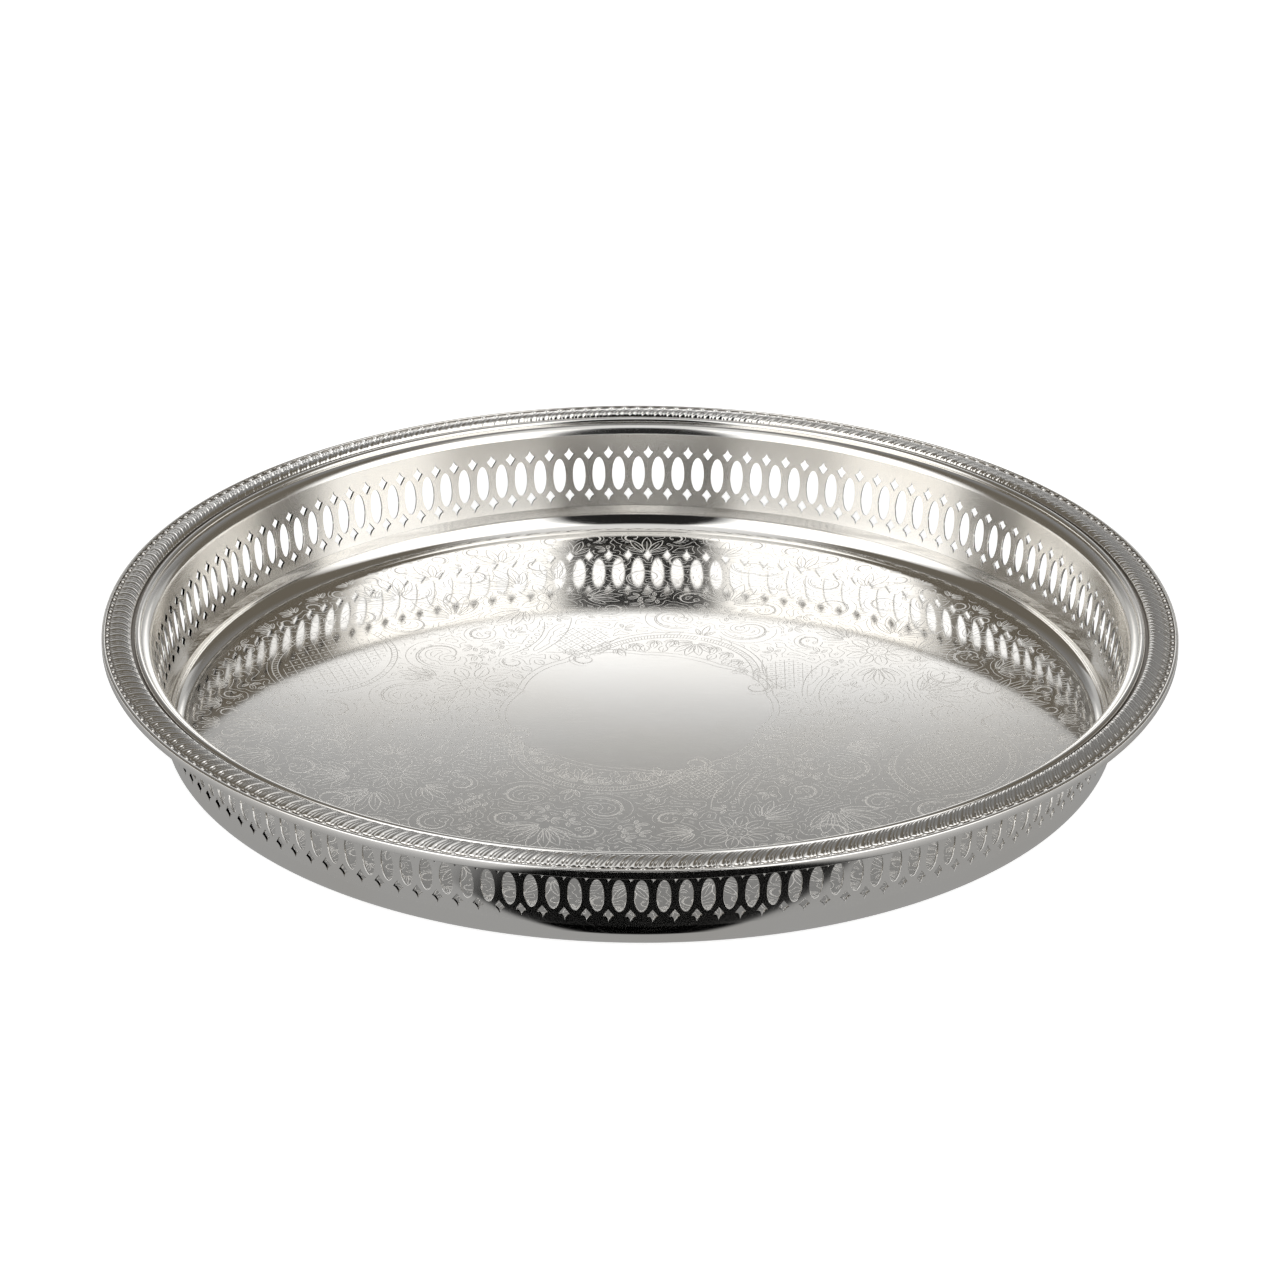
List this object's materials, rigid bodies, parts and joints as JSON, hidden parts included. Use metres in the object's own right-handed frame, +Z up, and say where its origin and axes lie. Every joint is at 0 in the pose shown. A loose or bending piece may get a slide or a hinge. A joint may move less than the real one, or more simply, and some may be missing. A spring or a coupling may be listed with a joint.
{
  "type": "round gallery tray",
  "caption": "Round silver salver-style tray: engraved flat floor, flared wall pierced with ovals and diamonds, turned out through a smooth shoulder, and a reeded rope-twist gadroon border.",
  "frame": {"origin": "middle of the flat underside that the tray rests on", "axes": "+Z up through the tray's mouth, along its axis of revolution; the joints of the border lie near +X and -X"},
  "size_m": [0.33, 0.33, 0.037],
  "materials": {
    "engraved_silver": "polished silver plate with bright-cut engraving",
    "pierced_silver": "polished silver plate, a little warmer where it tarnishes",
    "border_silver": "polished silver plate with tarnish in the grooves"
  },
  "bodies": {
    "root": {"floor_pan": "engraved_silver", "gallery_band": "pierced_silver", "border_front": "border_silver", "border_back": "border_silver"}
  },
  "joints": []
}
